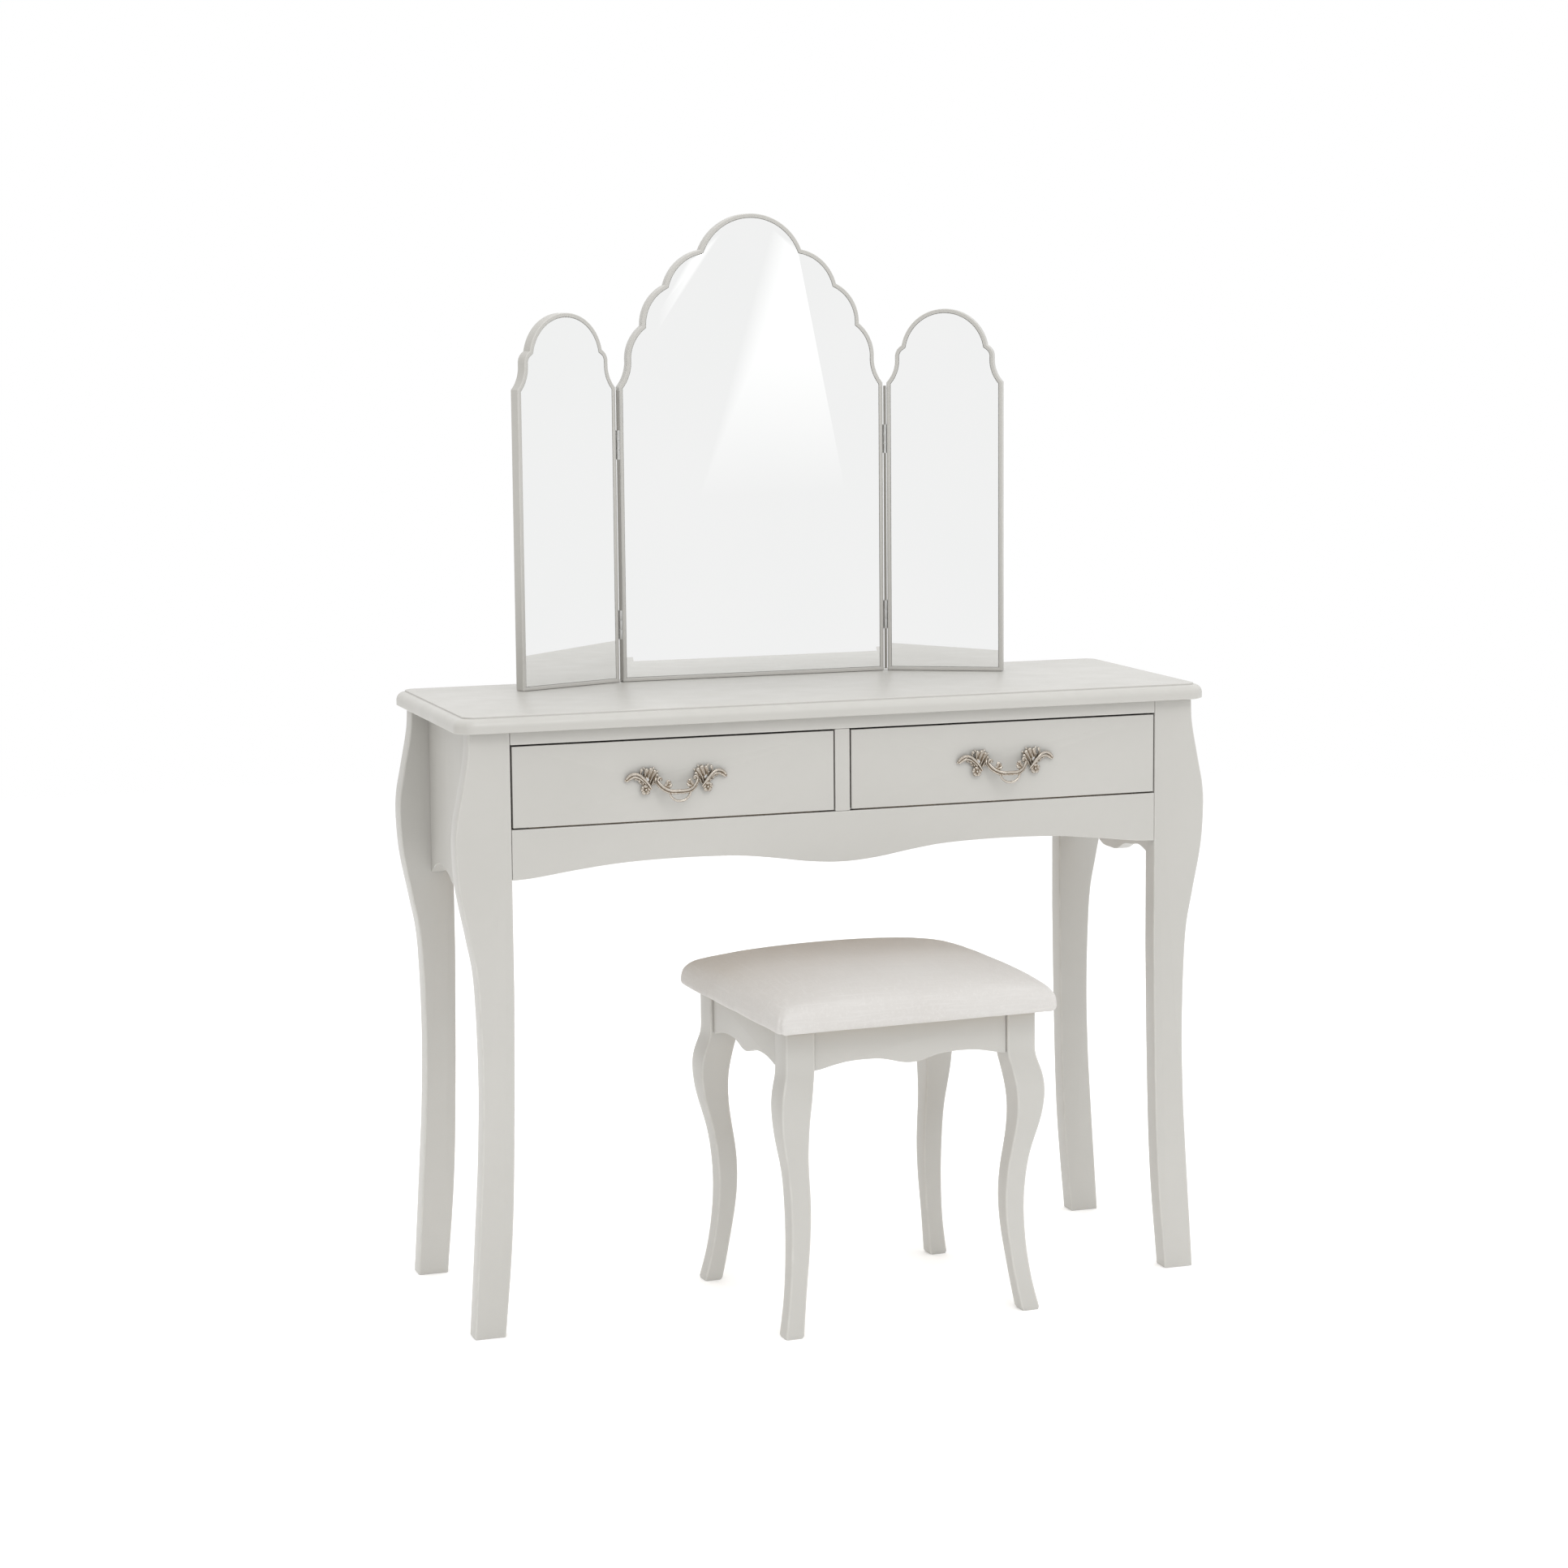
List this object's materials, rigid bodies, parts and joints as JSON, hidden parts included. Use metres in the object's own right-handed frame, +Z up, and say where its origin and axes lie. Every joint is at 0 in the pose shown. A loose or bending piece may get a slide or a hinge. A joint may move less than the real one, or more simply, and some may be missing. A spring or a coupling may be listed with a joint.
{
  "type": "dressing table",
  "caption": "Painted dressing table on shaped legs with side-by-side drawers, a free-standing folding triple mirror with scalloped tops and a cushioned stool.",
  "frame": {"origin": "middle of the whole set's footprint, on the floor", "axes": "+Z up, drawers open towards -Y, +X to the right seen from the front"},
  "size_m": [1.0032, 0.4978, 1.3928],
  "materials": {
    "paint": "satin warm grey paint",
    "bare_wood": "plain unpainted wood",
    "mirror_glass": "silvered glass",
    "antique_silver": "cast and aged silver",
    "hinge_steel": "plain bright steel",
    "linen": "ivory slub weave"
  },
  "bodies": {
    "table": {"table_top": "paint", "front_right_leg": "paint", "front_left_leg": "paint", "back_right_leg": "paint", "back_left_leg": "paint", "right_side_panel": "paint", "left_side_panel": "paint", "back_panel": "paint", "front_apron": "paint", "top_rail": "paint", "centre_post": "paint", "centre_divider": "bare_wood", "left_inner_runner": "bare_wood", "left_outer_runner": "bare_wood", "left_corner_block": "bare_wood", "right_inner_runner": "bare_wood", "right_outer_runner": "bare_wood", "right_corner_block": "bare_wood"},
    "left_drawer": {"left_drawer_front": "paint", "left_drawer_left_wall": "bare_wood", "left_drawer_right_wall": "bare_wood", "left_drawer_back": "bare_wood", "left_drawer_bottom": "bare_wood", "left_handle": "antique_silver", "left_handle_left_screw": "hinge_steel", "left_handle_right_screw": "hinge_steel"},
    "right_drawer": {"right_drawer_front": "paint", "right_drawer_left_wall": "bare_wood", "right_drawer_right_wall": "bare_wood", "right_drawer_back": "bare_wood", "right_drawer_bottom": "bare_wood", "right_handle": "antique_silver", "right_handle_left_screw": "hinge_steel", "right_handle_right_screw": "hinge_steel"},
    "mirror": {"centre_mirror_frame": "paint", "centre_mirror_glass": "mirror_glass", "left_lower_hinge_centre_half": "hinge_steel", "left_upper_hinge_centre_half": "hinge_steel", "right_lower_hinge_centre_half": "hinge_steel", "right_upper_hinge_centre_half": "hinge_steel"},
    "left_wing": {"left_wing_frame": "paint", "left_wing_glass": "mirror_glass", "left_lower_hinge_wing_half": "hinge_steel", "left_upper_hinge_wing_half": "hinge_steel"},
    "right_wing": {"right_wing_frame": "paint", "right_wing_glass": "mirror_glass", "right_lower_hinge_wing_half": "hinge_steel", "right_upper_hinge_wing_half": "hinge_steel"},
    "stool": {"stool_front_left_leg": "paint", "stool_front_right_leg": "paint", "stool_back_left_leg": "paint", "stool_back_right_leg": "paint", "stool_front_apron": "paint", "stool_back_apron": "paint", "stool_left_apron": "paint", "stool_right_apron": "paint", "seat_board": "bare_wood", "seat_cushion": "linen"}
  },
  "joints": [
    {"name": "left_drawer_slide", "type": "slide", "parent": "table", "child": "left_drawer", "axis": [0, -1, 0], "range_m": [0, 0.24]},
    {"name": "right_drawer_slide", "type": "slide", "parent": "table", "child": "right_drawer", "axis": [0, -1, 0], "range_m": [0, 0.24]},
    {"name": "mirror_lift", "type": "slide", "parent": "table", "child": "mirror", "axis": [0, 0, 1], "range_m": [0, 0.12]},
    {"name": "left_wing_hinge", "type": "hinge", "parent": "mirror", "child": "left_wing", "pos_m": [-0.2027, 0.19945, 0.9], "axis": [0, 0, 1], "range_deg": [-21, 154]},
    {"name": "right_wing_hinge", "type": "hinge", "parent": "mirror", "child": "right_wing", "pos_m": [0.1687, 0.19945, 0.9], "axis": [0, 0, -1], "range_deg": [-28.5, 146.5]},
    {"name": "stool_slide", "type": "slide", "parent": "table", "child": "stool", "axis": [0, -1, 0], "range_m": [-0.1, 0.35]}
  ]
}
